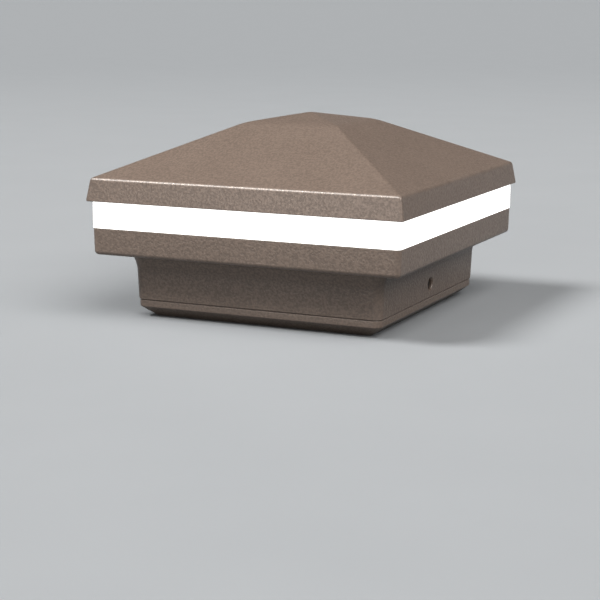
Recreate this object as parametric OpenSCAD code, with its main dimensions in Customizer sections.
// Deck post cap light: a cast roof and tray with an opal lens band between them. It slips over a square
// timber post. Millimetres, +Z up, origin in the middle of the adapter ring's bottom face.

/* [Post and adapter ring] */
// Width of the square post that the cap slips over
post_w = 88.9; // [76:0.1:110]
// Clearance between the post and the adapter ring, each side
post_gap = 0.8; // [0.4:0.1:1.5]
// Thickness that the adapter ring fills between the post and the neck
adapter_t = 5.3; // [4.5:0.1:9]
// Clearance between the adapter ring's sleeve and the neck, each side
adapter_gap = 0.25; // [0.1:0.05:0.5]
// Height of the adapter ring's visible band and chamfer together
ring_h = 7.3; // [6:0.1:12]
// Height of the chamfer that leads in to the post
ring_chamfer_h = 4.5; // [2:0.1:5]
// Width of the same chamfer
ring_chamfer_w = 6.1; // [2:0.1:6.4]
// Height of the sleeve that stands up inside the neck
sleeve_h = 14.5; // [10:0.1:17]
// Wall of the sleeve
sleeve_wall = 2.2; // [1.5:0.1:3]
// Width of each rib that bears on the post
rib_w = 3; // [2:0.1:5]
// Depth of the small bevels that form the seam line
seam_bevel = 0.45; // [0.2:0.05:0.8]

/* [Base casting] */
// Wall of the neck at its bottom edge
neck_wall = 3.6; // [2.6:0.05:4.5]
// Height of the neck from the seam line to the tray's underside
neck_h = 19.6; // [18:0.1:30]
// Widening of the neck from its bottom edge to its flare, each side
neck_draft = 0.5; // [0:0.05:0.6]
// Height of the flare at the top of the neck
flare_h = 8.4; // [5:0.1:11]
// Widening of the neck over its flare, each side
flare_w = 2.7; // [1:0.1:4]
// Corner radius of the neck and the adapter ring
neck_corner_r = 3.5; // [2.8:0.1:6]
// Distance that the tray stands out from the neck, each side
tray_reach = 12.85; // [12.8:0.05:20]
// Height of the tray
tray_h = 11.1; // [11:0.1:16]
// Widening of the tray from its lower edge to its rim, each side
tray_draft = 0.3; // [0:0.05:0.6]
// Radius of the tray's lower edge
tray_edge_r = 1.8; // [1:0.1:3.4]
// Corner radius of the tray and the lens band
tray_corner_r = 2.4; // [2:0.1:6]
// Thickness of the deck plate that forms the tray's floor
floor_t = 3; // [2.5:0.1:4]

/* [Lens] */
// Height of the lens band that shows
lens_h = 10.9; // [9:0.1:20]
// Thickness of the lens band
lens_t = 3.95; // [3.6:0.05:5]
// Depth of the shoulder between the band and the tongues
lens_shoulder = 2.05; // [1.8:0.05:2.2]
// Height of the tongue that plugs into the tray
lens_tongue_down = 2.1; // [1.5:0.1:3]
// Height of the tongue that plugs into the roof
lens_tongue_up = 4.1; // [2:0.1:4.5]
// Clearance round the tongues
lens_gap = 0.25; // [0.15:0.05:0.4]
// Thickness of both gaskets
gasket_t = 1; // [0.6:0.1:1.5]

/* [Roof casting] */
// Distance that the fascia stands out from the lens band, each side
eave_reach = 1.65; // [1:0.05:6]
// Height of the fascia
fascia_h = 9.3; // [8.5:0.1:16]
// Flare of the fascia towards its bottom edge, each side
fascia_flare = 1.5; // [0.5:0.05:2]
// Rise of the lower roof slope
roof_rise = 20.9; // [16:0.1:30]
// Distance from the middle to the bend between the two slopes
bend_half = 20.9; // [12:0.1:26]
// Rise of the upper roof slope
peak_rise = 3.65; // [2:0.05:8]
// Radius of the soft bend between the two slopes
bend_r = 24; // [5:1:40]
// Thickness of the roof's wall, measured upright
roof_wall = 2.85; // [2.4:0.05:4]
// Radius of the edge between the fascia and the roof
eave_edge_r = 1.4; // [0.6:0.1:1.8]
// Corner radius of the fascia
eave_corner_r = 1; // [0.8:0.1:4]

/* [Screws] */
// Diameter of the set screws
set_screw_d = 5; // [4:0.1:6]
// Length of the set screws
set_screw_l = 8; // [7.5:0.1:10]
// Depth of the set screws below the neck's face
set_screw_recess = 1.1; // [0.5:0.1:1.2]
// Height of the set screws above the bottom
set_screw_z = 13.3; // [13:0.1:16]
// Diameter of the roof screws
roof_screw_d = 4; // [3:0.1:4.5]
// Length of the roof screws
roof_screw_l = 20; // [18:0.5:24]
// Distance of the roof screws from the lens band's inner face
roof_screw_inset = 4.8; // [4.6:0.05:6]
// Diameter of the small screws inside
small_screw_d = 3; // [2.5:0.1:3]
// Running clearance between a thread and its tapped hole
thread_gap = 0.05; // [0.02:0.01:0.1]
// Clearance of a screw in a plain hole
hole_gap = 0.25; // [0.15:0.05:0.5]

/* [Light] */
// Distance from the LED chips to the lens
light_gap = 15.4; // [12:0.1:20]
// Number of LED chips on each board
led_count = 7; // [3:1:10]
// Height of the LED boards
led_board_h = 9.5; // [7:0.1:10]
// Thickness of the LED boards
led_board_t = 1; // [0.8:0.1:1.6]
// Distance that each LED board ends short of the carrier's corner
led_board_end = 3.2; // [3:0.1:8]
// Wall of the LED carrier
carrier_wall = 2.5; // [2:0.1:3.5]
// Bore of the lead grommet
grommet_bore_d = 6; // [4:0.1:7]

/* [Driver] */
// Length of the driver board
driver_l = 58; // [50:0.5:62]
// Width of the driver board
driver_w = 36; // [32:0.5:38]
// Thickness of the driver board
driver_t = 1.6; // [1:0.1:2]
// Height of the brass standoffs
standoff_h = 5; // [4:0.5:7]
// Diameter of the insulated wires
wire_d = 1.4; // [1:0.1:1.6]

/* [Hidden] */
$fn = 40;

// Colours
bronze = [0.33, 0.28, 0.26];
opal = [0.97, 0.96, 0.92];
rubber_black = [0.1, 0.1, 0.1];
steel = [0.7, 0.7, 0.72];
black_oxide = [0.14, 0.14, 0.15];
bright_aluminium = [0.8, 0.81, 0.83];
reflector_white = [0.94, 0.94, 0.93];
board_white = [0.93, 0.94, 0.9];
board_green = [0.08, 0.33, 0.18];
chip_yellow = [0.98, 0.86, 0.42];
brass = [0.8, 0.65, 0.3];
sleeve_blue = [0.12, 0.16, 0.24];
ferrite = [0.2, 0.2, 0.22];
terminal_green = [0.1, 0.35, 0.2];
wire_red = [0.75, 0.1, 0.08];
wire_black = [0.12, 0.12, 0.12];
wire_white = [0.85, 0.85, 0.85];

// A hair more than nothing, so that a cut runs clear through a face
eps = 0.01;
// Sharpest corner radius, seen from above, inside a casting
smallest_corner_r = 0.6;
// Straight pieces in each rounded corner of a lofted casting
corner_steps = 5;
// Straight pieces in each rounded edge of a lofted casting
edge_steps = 4;
sides = [0, 90, 180, 270];
corners = [[1, 1], [-1, 1], [-1, -1], [1, -1]];

// Levels, from the bottom up
z_seam = ring_h;
z_tray = z_seam + neck_h;
z_deck = z_tray + floor_t;
z_rim = z_tray + tray_h;
z_eave = z_rim + lens_h;
z_lens_mid = z_rim + lens_h / 2;
z_lower_ledge = z_rim - lens_tongue_down - gasket_t;
z_upper_ledge = z_eave + lens_tongue_up + gasket_t;
z_fascia = z_eave + fascia_h;
z_bend = z_fascia + roof_rise;
z_peak = z_bend + peak_rise;

// Half widths, from the post outwards
post_half = post_w / 2;
socket_half = post_half + post_gap;
sleeve_half = socket_half + adapter_t;
neck_in_half = sleeve_half + adapter_gap;
neck_half = neck_in_half + neck_wall;
tray_half = neck_half + tray_reach;
lens_proud = 0.1;
lens_half = tray_half + lens_proud;
tongue_half = lens_half - lens_shoulder;
lens_in_half = lens_half - lens_t;
rebate_half = tongue_half + lens_gap;
chamber_half = lens_in_half - lens_gap;
eave_half = lens_half + eave_reach;
fascia_top_half = eave_half - fascia_flare;
chamber_corner_r = even_corner(chamber_half, tray_half, tray_corner_r);
rebate_corner_r = even_corner(rebate_half, lens_half, tray_corner_r);

// Roof slopes: the fall of each one, and the softness of the bend between them
bend_fall = roof_rise / (fascia_top_half - bend_half);
peak_fall = peak_rise / bend_half;
peak_half = 1.2;

// Adapter ring
band_inset = 0.3;
band_half = neck_half - band_inset;
ribs_per_side = 4;
rib_pitch = 2 * socket_half / ribs_per_side;
rib_depth = adapter_t - sleeve_wall;

// Set screws: the neck is thickened round each one, and the sleeve is slotted to pass the thick place
set_boss_wall = 2.5;
set_boss_r = set_screw_d / 2 + set_boss_wall;
set_boss_depth = 3.4;
set_boss_in = neck_in_half - set_boss_depth;
set_boss_gap = 0.4;
set_bore_r = set_screw_d / 2 + thread_gap;
set_bevel = 0.7;
set_screw_out = neck_half - set_screw_recess;
set_point = 0.6;
set_key_ratio = 0.29;
set_key_r = set_screw_d * set_key_ratio;
set_key_depth = 3;

// Roof screws and the corner posts that they run in
roof_screw_at = lens_in_half - roof_screw_inset;
head_r_ratio = 0.9;
head_h_ratio = 0.6;
roof_head_r = roof_screw_d * head_r_ratio;
roof_head_h = roof_screw_d * head_h_ratio;
washer_t = 0.8;
washer_gap = 0.1;
counterbore_gap = 0.4;
counterbore_r = roof_head_r + counterbore_gap;
head_recess = 0.3;
z_screw_seat = z_tray + head_recess + roof_head_h + washer_t;
post_foot_wall = 1.4;
post_foot_cap = 2.4;
post_foot_r = counterbore_r + post_foot_wall;
z_post_foot = z_screw_seat + post_foot_cap;
post_r = 4;
post_stand = 2;
z_post_top = z_rim + post_stand;
post_meet_gap = 0.3;
roof_bore_depth = 1.6;

// Deck plate fittings
pad_r = 8;
pad_t = 1.6;
pad_edge = 6;
pad_at = post_half - pad_edge - pad_r;
grommet_wall = 2;
grommet_gap = 0.1;
grommet_lip = 2.2;
grommet_lip_t = 1.4;
grommet_round = 0.6;
lead_hole_r = grommet_bore_d / 2 + grommet_wall + grommet_gap;

// Reflectors
floor_sheet_t = 0.5;
roof_sheet_t = 0.8;
sheet_gap = 0.35;
sheet_corner_gap = 4;
roof_sheet_lift = 0.1;
z_roof_sheet = z_upper_ledge + roof_sheet_lift;
reflector_screw_at = 32;
reflector_screw_l = 6;
reflector_boss_r = 3;

// LED carrier and boards
chip_size = [0.8, 3.5, 2.8];
chip_dish_r = 1.1;
chip_dish_depth = 0.25;
carrier_half = lens_in_half - light_gap - chip_size.x - led_board_t;
carrier_in_half = carrier_half - carrier_wall;
carrier_corner_r = 2;
carrier_in_r = 1;
z_carrier = z_deck + floor_sheet_t;
carrier_rim = 0.4;
z_carrier_top = z_lens_mid + led_board_h / 2 + carrier_rim;
board_face = carrier_half + led_board_t;
led_board_half = carrier_half - led_board_end;
pad_inset = 2;
jumper_at = led_board_half - pad_inset;
led_end_inset = 6.5;
led_pitch = 2 * (led_board_half - led_end_inset) / (led_count - 1);
foot_size = 11;
foot_weld = 1;
foot_t = 2.5;
foot_boss_h = 2;
foot_boss_r = 4;
foot_at = carrier_in_half - foot_size / 2;
z_foot = z_deck + foot_boss_h;
blind_floor = 0.5;
carrier_screw_l = foot_t + foot_boss_h + floor_t - blind_floor - hole_gap;

// Driver board and what stands on it
driver_y = 23;
driver_hole_inset = 4;
z_board = z_deck + standoff_h;
z_board_top = z_board + driver_t;
standoff_wall = 1.68;
standoff_r = small_screw_d / 2 + standoff_wall;
standoff_stud = 2.2;
board_screw_l = 4;
capacitor_r = 5;
capacitor_h = 12;
capacitor_at = [-16, driver_y + 8];
inductor_r = 4.6;
inductor_h = 5.5;
inductor_at = [0, driver_y + 8];
rectifier_size = [7, 6, 2.5];
rectifier_at = [-3, driver_y - 8];
control_chip_size = [5, 4, 1.5];
control_chip_at = [13, driver_y + 7];
terminal_size = [10.2, 8, 10];
terminal_inset = 5;
terminal_at = [-14, driver_y - driver_w / 2 + terminal_inset];
terminal_pitch = 5.08;
terminal_well_r = 2;
terminal_entry_r = 1.9;
terminal_well_depth = 5;
terminal_entry_z = 2.5;
terminal_entry_depth = 5.6;
terminal_screw_h = 3;
terminal_slot = [0.6, 1.2];

// Wires
wire_r = wire_d / 2;
wire_bend_r = 2.4;
wire_rise = 2.4;
wire_gap = 0.1;
wire_from_hole = 2;
wire_start_x = driver_l / 2 - driver_hole_inset - wire_from_hole;
wire_y = 1.5 * led_pitch;
wire_spread = 1.2;
z_wire_end = z_lens_mid + 1.5;
z_wire_top = z_carrier_top + wire_rise;
solder_r = 0.9;
solder_h = 1;
jumper_r = 0.5;
jumper_overhang = 0.5;
jumper_centre = led_board_half + jumper_overhang;
jumper_spread = 2;

assert(led_pitch > chip_size.y + 2 * solder_r, "the LED chips need a wider board or a lower count");

// ---- Shared shapes ----

function unit(v) = v / norm(v);

// Points of the arc of radius r that rounds the corner at b on the way from a to c
function fillet(a, b, c, r, steps = edge_steps) =
    let (u = unit(a - b), v = unit(c - b), half_angle = acos(u * v) / 2, sweep = 180 - 2 * half_angle,
         centre = b + unit(u + v) * r / sin(half_angle),
         from = b + u * r / tan(half_angle) - centre, to = b + v * r / tan(half_angle) - centre)
    [for (i = [0:steps])
        let (t = i / steps) centre + (from * sin((1 - t) * sweep) + to * sin(t * sweep)) / sin(sweep)];

// Corner radius, seen from above, that keeps a casting's wall even as its half width changes
function even_corner(half, outer_half, outer_r) = max(outer_r - (outer_half - half), smallest_corner_r);

// One level of a casting, anticlockwise seen from above
function square_ring(half, r, z) = [
    for (c = corners, step = [0:corner_steps])
        let (a = atan2(c.y, c.x) - 45 + 90 * step / corner_steps)
        [c.x * (half - r) + r * cos(a), c.y * (half - r) + r * sin(a), z]
];

// Solid through square levels: profile lists [half width, height] from the bottom up
module loft(profile, corner_of) {
    count = 4 * (corner_steps + 1);
    last = len(profile) - 1;
    walls = [
        for (k = [0:last - 1], i = [0:count - 1])
            let (j = (i + 1) % count)
            [k * count + i, (k + 1) * count + i, (k + 1) * count + j, k * count + j]
    ];
    bottom = [for (i = [0:count - 1]) i];
    top = [for (i = [count - 1:-1:0]) last * count + i];
    points = [for (p = profile) each square_ring(p[0], corner_of(p[0]), p[1])];
    polyhedron(points, concat(walls, [bottom, top]));
}

module rounded_square(half, r) {
    square([2 * half, 2 * (half - r)], center = true);
    square([2 * (half - r), 2 * half], center = true);
    for (c = corners) translate([c.x * (half - r), c.y * (half - r)]) circle(r);
}

module prism(half, r, z0, z1) {
    translate([0, 0, z0]) linear_extrude(z1 - z0) rounded_square(half, r);
}

module frame(half, r, in_half, in_r, z0, z1) {
    translate([0, 0, z0]) linear_extrude(z1 - z0) difference() {
        rounded_square(half, r);
        rounded_square(in_half, in_r);
    }
}

module at_corners(at) {
    for (c = corners) translate([c.x * at, c.y * at, 0]) children();
}

module rod(r, z0, z1) {
    translate([0, 0, z0]) cylinder(h = z1 - z0, r = r);
}

// Children are drawn on the right-hand side and turned to another one
module on_side(angle) {
    rotate([0, 0, angle]) children();
}

// Pan-head screw: head above z = 0, thread below
module pan_screw(d, l) {
    head_r = d * head_r_ratio;
    head_h = d * head_h_ratio;
    tip_bevel = d * 0.12;
    crown_bevel = head_r * 0.28;
    cross_w = d * 0.16;
    cross_l = head_r * 1.1;
    difference() {
        rotate_extrude() polygon([
            [0, -l], [d / 2 - tip_bevel, -l], [d / 2, -l + tip_bevel], [d / 2, 0], [head_r, 0],
            [head_r, head_h / 2], [head_r - crown_bevel, head_h], [0, head_h]
        ]);
        for (a = [0, 90]) rotate([0, 0, a]) translate([0, 0, head_h])
            cube([cross_l, cross_w, head_h], center = true);
    }
}

// ---- Base body ----

module base_outline() {
    neck_top = neck_half + neck_draft;
    tray_low = tray_half - tray_draft;
    rim_bevel = 0.4;
    flare_r = (flare_h ^ 2 + flare_w ^ 2) / (2 * flare_w);
    flare_turn = asin(flare_h / flare_r);
    flare_end = [neck_top + flare_w, z_tray];
    edge_corner = [tray_low, z_tray];
    edge_end = [tray_half, z_rim];
    plan = function(half) half > neck_top + flare_w + eps
        ? even_corner(half, tray_half, tray_corner_r)
        : even_corner(half, neck_half, neck_corner_r);
    loft(concat(
        [[neck_half - seam_bevel, z_seam], [neck_half, z_seam + seam_bevel]],
        [for (i = [0:edge_steps]) let (a = flare_turn * i / edge_steps)
            [neck_top + flare_r * (1 - cos(a)), z_tray - flare_h + flare_r * sin(a)]],
        fillet(flare_end, edge_corner, edge_end, tray_edge_r),
        [[tray_half, z_rim - rim_bevel], [tray_half - rim_bevel, z_rim]]
    ), plan);
}

module set_screw_boss() {
    translate([set_boss_in, 0, set_screw_z]) rotate([0, 90, 0])
        cylinder(h = neck_half - set_boss_in - neck_wall / 2, r = set_boss_r);
}

module set_screw_hole() {
    translate([set_boss_in - eps, 0, set_screw_z]) rotate([0, 90, 0])
        cylinder(h = neck_half - set_boss_in + neck_wall, r = set_bore_r);
    translate([neck_half + neck_draft - set_bevel, 0, set_screw_z]) rotate([0, 90, 0])
        cylinder(h = 2 * set_bevel, r1 = set_bore_r, r2 = set_bore_r + 2 * set_bevel);
}

module base_casting() {
    neck_in_r = even_corner(neck_in_half, neck_half, neck_corner_r);
    tapped_r = small_screw_d / 2 + thread_gap;
    color(bronze) difference() {
        union() {
            difference() {
                base_outline();
                prism(neck_in_half, neck_in_r, z_seam - eps, z_tray);
                prism(chamber_half, chamber_corner_r, z_deck, z_rim + eps);
                prism(rebate_half, rebate_corner_r, z_lower_ledge, z_rim + eps);
            }
            at_corners(roof_screw_at) {
                rod(post_foot_r, z_tray + floor_t / 2, z_post_foot);
                rod(post_r, z_deck, z_post_top);
            }
            at_corners(foot_at) rod(foot_boss_r, z_deck - floor_t / 2, z_foot);
            for (a = [0, 180]) on_side(a) set_screw_boss();
        }
        at_corners(roof_screw_at) {
            rod(counterbore_r, z_tray - flare_h, z_screw_seat);
            rod(roof_screw_d / 2 + hole_gap, z_tray, z_post_top + eps);
        }
        at_corners(foot_at) rod(tapped_r, z_tray + blind_floor, z_foot + eps);
        driver_corners() rod(tapped_r, z_deck - standoff_stud - hole_gap, z_deck + eps);
        rod(lead_hole_r, z_tray - eps, z_deck + eps);
        for (a = [0, 180]) on_side(a) set_screw_hole();
    }
}

module adapter_ring() {
    bottom_half = band_half - ring_chamfer_w;
    foot_bevel = 0.3;
    socket_r = 1;
    plan = function(half) even_corner(half, band_half, neck_corner_r);
    slot_w = 2 * (set_boss_r + set_boss_gap);
    color(bronze) difference() {
        union() {
            loft([
                [bottom_half - foot_bevel, 0], [bottom_half, foot_bevel], [band_half, ring_chamfer_h],
                [band_half, z_seam - seam_bevel], [band_half - seam_bevel, z_seam]
            ], plan);
            prism(sleeve_half, plan(sleeve_half), z_seam - eps, z_seam + sleeve_h);
        }
        prism(socket_half, socket_r, -eps, z_seam + sleeve_h + eps);
        for (a = sides) on_side(a) rib_pockets(slot_w);
    }
}

// Space between the ribs of one side, and the slot that passes the set screw's boss
module rib_pockets(slot_w) {
    depth = rib_depth + eps;
    end = socket_half + depth;
    ribs = [for (i = [0:ribs_per_side - 1]) (i - (ribs_per_side - 1) / 2) * rib_pitch];
    starts = concat([-end], [for (y = ribs) y + rib_w / 2]);
    stops = concat([for (y = ribs) y - rib_w / 2], [end]);
    for (i = [0:ribs_per_side]) translate([socket_half - eps, starts[i], z_seam])
        cube([depth, stops[i] - starts[i], sleeve_h + eps]);
    translate([socket_half, -slot_w / 2, set_screw_z - slot_w / 2])
        cube([adapter_t + eps, slot_w, z_seam + sleeve_h - set_screw_z + slot_w / 2 + eps]);
}

module post_pads() {
    color(rubber_black) at_corners(pad_at) rod(pad_r, z_tray - pad_t, z_tray);
}

module lead_grommet() {
    bore_r = grommet_bore_d / 2;
    waist_r = bore_r + grommet_wall;
    lip_r = waist_r + grommet_lip;
    z_low = z_tray - grommet_lip_t;
    z_high = z_deck + grommet_lip_t;
    color(rubber_black) rotate_extrude() polygon([
        [bore_r, z_low], [lip_r - grommet_round, z_low], [lip_r, z_low + grommet_round],
        [lip_r, z_tray], [waist_r, z_tray], [waist_r, z_deck],
        [lip_r, z_deck], [lip_r, z_high - grommet_round], [lip_r - grommet_round, z_high],
        [bore_r, z_high]
    ]);
}

module gasket(z) {
    color(rubber_black) frame(
        tongue_half, even_corner(tongue_half, lens_half, tray_corner_r),
        lens_in_half, even_corner(lens_in_half, lens_half, tray_corner_r), z, z + gasket_t
    );
}

module lower_gasket() {
    gasket(z_lower_ledge);
}

// Square notches that let a sheet's corners pass the corner posts
module sheet_notches(reach, z) {
    size = chamber_half - roof_screw_at + reach;
    height = 4;
    at_corners(chamber_half - size / 2) translate([0, 0, z]) cube([size, size, height], center = true);
}

// Straight cuts across a sheet's corners, at a distance from the axes of the corner posts
module corner_cuts(distance, z) {
    size = 2 * chamber_half;
    height = 4;
    for (c = corners) translate([c.x * roof_screw_at, c.y * roof_screw_at, z])
        rotate([0, 0, atan2(c.y, c.x)]) translate([-distance, -size / 2, -height / 2])
        cube([size, size, height]);
}

module floor_reflector() {
    half = chamber_half - sheet_gap;
    color(reflector_white) difference() {
        frame(half, chamber_corner_r, carrier_in_half, carrier_in_r,
              z_deck, z_deck + floor_sheet_t);
        sheet_notches(post_foot_r + sheet_gap, z_deck);
    }
}

module led_carrier() {
    color(bright_aluminium) difference() {
        union() {
            frame(carrier_half, carrier_corner_r, carrier_in_half, carrier_in_r,
                  z_carrier, z_carrier_top);
            at_corners(foot_at) translate([0, 0, z_foot + foot_t / 2])
                cube([foot_size + foot_weld, foot_size + foot_weld, foot_t], center = true);
        }
        at_corners(foot_at) rod(small_screw_d / 2 + hole_gap, z_foot - eps, z_foot + foot_t + eps);
    }
}

module carrier_screws() {
    color(steel) at_corners(foot_at) translate([0, 0, z_foot + foot_t])
        pan_screw(small_screw_d, carrier_screw_l);
}

module led_board(angle) {
    color(board_white) on_side(angle)
        translate([carrier_half, -led_board_half, z_lens_mid - led_board_h / 2])
        cube([led_board_t, 2 * led_board_half, led_board_h]);
}

module led_board_right() { led_board(0); }
module led_board_back() { led_board(90); }
module led_board_left() { led_board(180); }
module led_board_front() { led_board(270); }

module led_chips(angle) {
    color(chip_yellow) on_side(angle) for (i = [0:led_count - 1])
        translate([board_face, (i - (led_count - 1) / 2) * led_pitch, z_lens_mid]) difference() {
            translate([0, -chip_size.y / 2, -chip_size.z / 2]) cube(chip_size);
            translate([chip_size.x - chip_dish_depth, 0, 0]) rotate([0, 90, 0])
                cylinder(h = 1, r = chip_dish_r);
        }
}

module led_chips_right() { led_chips(0); }
module led_chips_back() { led_chips(90); }
module led_chips_left() { led_chips(180); }
module led_chips_front() { led_chips(270); }

module driver_corners() {
    for (c = corners) translate([
        c.x * (driver_l / 2 - driver_hole_inset), driver_y + c.y * (driver_w / 2 - driver_hole_inset), 0
    ]) children();
}

module driver_board() {
    color(board_green) difference() {
        translate([-driver_l / 2, driver_y - driver_w / 2, z_board])
            cube([driver_l, driver_w, driver_t]);
        driver_corners() rod(small_screw_d / 2 + hole_gap, z_board - eps, z_board_top + eps);
    }
}

module board_standoffs() {
    color(brass) driver_corners() difference() {
        union() {
            rod(small_screw_d / 2, z_deck - standoff_stud, z_deck + eps);
            translate([0, 0, z_deck]) cylinder(h = standoff_h, r = standoff_r, $fn = 6);
        }
        rod(small_screw_d / 2 + thread_gap, z_board_top - board_screw_l - hole_gap, z_board + eps);
    }
}

module board_screws() {
    color(steel) driver_corners() translate([0, 0, z_board_top])
        pan_screw(small_screw_d, board_screw_l);
}

module smoothing_capacitor() {
    crimp_z = 1.6;
    crimp = 0.5;
    color(sleeve_blue) translate([capacitor_at.x, capacitor_at.y, z_board_top])
        rotate_extrude() polygon([
            [0, 0], [capacitor_r - crimp, 0], [capacitor_r, crimp], [capacitor_r, crimp_z],
            [capacitor_r - crimp, crimp_z + crimp], [capacitor_r, crimp_z + 2 * crimp],
            [capacitor_r, capacitor_h - crimp], [capacitor_r - crimp, capacitor_h], [0, capacitor_h]
        ]);
}

module inductor() {
    flange = 1;
    core_r = inductor_r - flange;
    color(ferrite) translate([inductor_at.x, inductor_at.y, z_board_top]) rotate_extrude() polygon([
        [0, 0], [inductor_r, 0], [inductor_r, flange], [core_r, flange],
        [core_r, inductor_h - flange], [inductor_r, inductor_h - flange], [inductor_r, inductor_h],
        [0, inductor_h]
    ]);
}

// Chip with bent legs along two sides
module legged_chip(size, legs) {
    leg_l = size.y * 0.16;
    leg_w = 0.45;
    pitch = size.x / legs;
    lift = 0.2;
    translate([-size.x / 2, -size.y / 2, lift]) cube([size.x, size.y, size.z - lift]);
    for (side = [-1, 1], i = [0:legs - 1])
        translate([(i - (legs - 1) / 2) * pitch - leg_w / 2, side * size.y / 2 - leg_l / 2, 0]) {
            translate([0, side * leg_l / 2, lift]) cube([leg_w, leg_l, size.z / 2]);
            translate([0, side * leg_l, 0]) cube([leg_w, leg_l, lift + eps]);
        }
}

module bridge_rectifier() {
    color(black_oxide) translate([rectifier_at.x, rectifier_at.y, z_board_top])
        legged_chip(rectifier_size, 2);
}

module control_chip() {
    color(black_oxide) translate([control_chip_at.x, control_chip_at.y, z_board_top])
        legged_chip(control_chip_size, 4);
}

module at_terminals() {
    for (s = [-1, 1]) translate([terminal_at.x + s * terminal_pitch / 2, terminal_at.y, z_board_top])
        children();
}

module terminal_block() {
    front = terminal_at.y - terminal_size.y / 2;
    top_bevel = 2;
    color(terminal_green) difference() {
        translate([terminal_at.x - terminal_size.x / 2, front, z_board_top]) cube(terminal_size);
        translate([terminal_at.x, front, z_board_top + terminal_size.z]) rotate([45, 0, 0])
            cube([terminal_size.x + 1, top_bevel, top_bevel], center = true);
        at_terminals() {
            rod(terminal_well_r, terminal_size.z - terminal_well_depth, terminal_size.z + eps);
            translate([0, -terminal_size.y / 2 - eps, terminal_entry_z]) rotate([-90, 0, 0])
                cylinder(h = terminal_entry_depth, r = terminal_entry_r);
        }
    }
}

module terminal_screws() {
    r = terminal_well_r - hole_gap / 2;
    z0 = terminal_size.z - terminal_well_depth;
    z1 = z0 + terminal_screw_h;
    color(steel) at_terminals() difference() {
        rod(r, z0, z1);
        translate([0, 0, z1]) cube([2 * r + 1, terminal_slot.x, terminal_slot.y], center = true);
    }
}

// ---- Wires ----

// Quarter ring of wire in the XY plane, from +X round to +Y
module quarter_bend(bend_r, r) {
    rotate_extrude(angle = 90) translate([bend_r, 0]) circle(r);
}

// Wire from the driver board, over the carrier's wall and down to the right-hand LED board
module supply_wire(y) {
    x0 = wire_start_x;
    x1 = board_face + wire_r + wire_gap;
    bend = wire_bend_r;
    color(y > wire_y ? wire_red : wire_black) {
        translate([x0, y, 0]) rod(wire_r, z_board_top, z_wire_top - bend);
        translate([x0 + bend, y, z_wire_top - bend]) rotate([90, 0, 0]) rotate([0, 0, 90])
            quarter_bend(bend, wire_r);
        translate([x0 + bend, y, z_wire_top]) rotate([0, 90, 0])
            cylinder(h = x1 - x0 - 2 * bend, r = wire_r);
        translate([x1 - bend, y, z_wire_top - bend]) rotate([90, 0, 0]) quarter_bend(bend, wire_r);
        translate([x1, y, 0]) rod(wire_r, z_wire_end, z_wire_top - bend);
        translate([board_face, y, z_wire_end]) rotate([0, 90, 0]) cylinder(h = solder_h, r = solder_r);
    }
}

module wire_positive() { supply_wire(wire_y + wire_spread); }
module wire_negative() { supply_wire(wire_y - wire_spread); }

// One jumper round the carrier's corner between the right-hand and the back board
module corner_jumper(z) {
    out = board_face + jumper_r + wire_gap;
    bend = out - jumper_centre;
    straight = jumper_centre - jumper_at;
    translate([jumper_centre, jumper_centre, z]) quarter_bend(bend, jumper_r);
    translate([out, jumper_at, z]) rotate([-90, 0, 0]) cylinder(h = straight, r = jumper_r);
    translate([jumper_at, out, z]) rotate([0, 90, 0]) cylinder(h = straight, r = jumper_r);
    translate([board_face, jumper_at, z]) rotate([0, 90, 0]) cylinder(h = solder_h, r = solder_r);
    translate([jumper_at, board_face, z]) rotate([-90, 0, 0]) cylinder(h = solder_h, r = solder_r);
}

module corner_jumpers() {
    color(wire_white) for (a = [0, 90, 180], s = [-1, 1])
        on_side(a) corner_jumper(z_lens_mid + s * jumper_spread);
}

// ---- Roof screws ----

module roof_screws() {
    color(steel) at_corners(roof_screw_at) translate([0, 0, z_screw_seat - washer_t])
        rotate([180, 0, 0]) pan_screw(roof_screw_d, roof_screw_l);
}

module sealing_washers() {
    color(rubber_black) at_corners(roof_screw_at) difference() {
        rod(roof_head_r + washer_gap, z_screw_seat - washer_t, z_screw_seat);
        rod(roof_screw_d / 2 + washer_gap, z_screw_seat - washer_t - eps, z_screw_seat + eps);
    }
}

// ---- Roof body ----

function slope_z(half) = z_bend - (half - bend_half) * bend_fall;

// Corner radius of the roof, seen from above, which narrows at the peak
function roof_corner(half) = min(eave_corner_r, half * 0.7);

module roof_outline() {
    foot_bevel = 0.4;
    fascia_foot = [eave_half, z_eave + foot_bevel];
    fascia_top = [fascia_top_half, z_fascia];
    bend = [bend_half, z_bend];
    peak = [peak_half, z_peak - peak_half * peak_fall];
    loft(concat(
        [[eave_half - foot_bevel, z_eave], fascia_foot],
        fillet(fascia_foot, fascia_top, bend, eave_edge_r),
        fillet(fascia_top, bend, peak, bend_r),
        [peak]
    ), function(half) roof_corner(half));
}

module roof_cavity() {
    difference() {
        loft([
            [chamber_half, z_upper_ledge - eps], [chamber_half, slope_z(chamber_half) - roof_wall],
            [bend_half, z_bend - roof_wall], [peak_half, z_peak - peak_half * peak_fall - roof_wall]
        ], function(half) roof_corner(half));
        at_corners(roof_screw_at) rod(post_r, z_eave, z_peak);
        for (a = sides) on_side(a) translate([reflector_screw_at, 0, 0])
            rod(reflector_boss_r, z_roof_sheet + roof_sheet_t, z_peak);
    }
}

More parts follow.
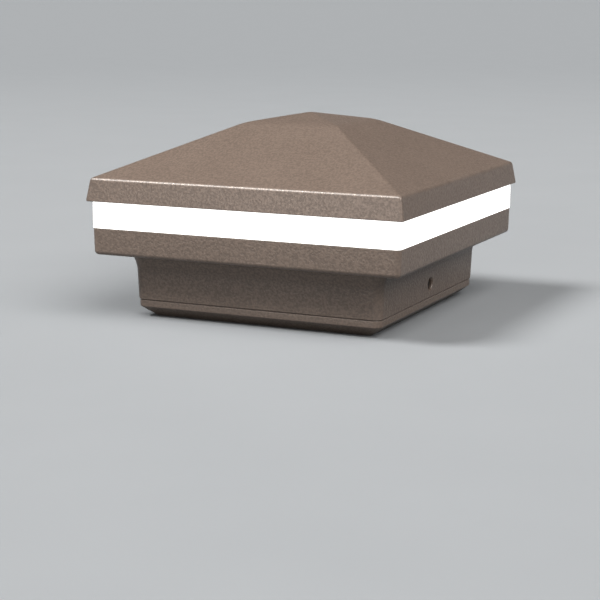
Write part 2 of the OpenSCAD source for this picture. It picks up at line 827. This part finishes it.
module roof_casting() {
    z_post = z_post_top + post_meet_gap;
    color(bronze) difference() {
        union() {
            difference() {
                roof_outline();
                roof_cavity();
                prism(rebate_half, rebate_corner_r, z_eave - eps, z_upper_ledge);
            }
            at_corners(roof_screw_at) rod(post_r, z_post, z_upper_ledge + roof_sheet_t);
        }
        at_corners(roof_screw_at) rod(
            roof_screw_d / 2 + thread_gap, z_post - eps,
            z_screw_seat - washer_t + roof_screw_l + roof_bore_depth
        );
        for (a = sides) on_side(a) translate([reflector_screw_at, 0, 0])
            rod(small_screw_d / 2 + thread_gap, z_roof_sheet,
                z_roof_sheet + reflector_screw_l + blind_floor);
    }
}

module lens_ring() {
    r = tray_corner_r;
    color(opal) difference() {
        union() {
            prism(lens_half, r, z_rim, z_eave);
            prism(tongue_half, even_corner(tongue_half, lens_half, r), z_rim - lens_tongue_down,
                  z_eave + lens_tongue_up);
        }
        prism(lens_in_half, even_corner(lens_in_half, lens_half, r), z_rim - lens_tongue_down - eps,
              z_eave + lens_tongue_up + eps);
    }
}

module upper_gasket() {
    gasket(z_upper_ledge - gasket_t);
}

module roof_reflector() {
    half = chamber_half - sheet_gap;
    color(reflector_white) difference() {
        prism(half, chamber_corner_r, z_roof_sheet, z_roof_sheet + roof_sheet_t);
        corner_cuts(post_r + sheet_corner_gap, z_roof_sheet);
        for (a = sides) on_side(a) translate([reflector_screw_at, 0, 0])
            rod(small_screw_d / 2 + hole_gap, z_roof_sheet - eps, z_roof_sheet + roof_sheet_t + eps);
    }
}

module reflector_screws() {
    color(steel) for (a = sides) on_side(a) translate([reflector_screw_at, 0, z_roof_sheet])
        rotate([180, 0, 0]) pan_screw(small_screw_d, reflector_screw_l);
}

// ---- Set screws ----

// Cup-point set screw with a hexagon socket, on the right-hand side
module set_screw(angle) {
    r = set_screw_d / 2;
    l = set_screw_l;
    end_bevel = set_point / 2;
    color(black_oxide) on_side(angle) translate([set_screw_out - l, 0, set_screw_z])
        rotate([0, 90, 0]) difference() {
            rotate_extrude() polygon([
                [0, 0], [r - set_point, 0], [r, set_point], [r, l - end_bevel],
                [r - end_bevel, l], [0, l]
            ]);
            translate([0, 0, l - set_key_depth])
                cylinder(h = set_key_depth + eps, r = set_key_r, $fn = 6);
        }
}

module set_screw_right() { set_screw(0); }
module set_screw_left() { set_screw(180); }

base_casting();
adapter_ring();
post_pads();
lead_grommet();
lower_gasket();
floor_reflector();
led_carrier();
carrier_screws();
led_board_front();
led_board_right();
led_board_back();
led_board_left();
led_chips_front();
led_chips_right();
led_chips_back();
led_chips_left();
driver_board();
board_standoffs();
board_screws();
smoothing_capacitor();
inductor();
bridge_rectifier();
control_chip();
terminal_block();
terminal_screws();
wire_positive();
wire_negative();
corner_jumpers();
roof_screws();
sealing_washers();
roof_casting();
lens_ring();
upper_gasket();
roof_reflector();
reflector_screws();
set_screw_left();
set_screw_right();
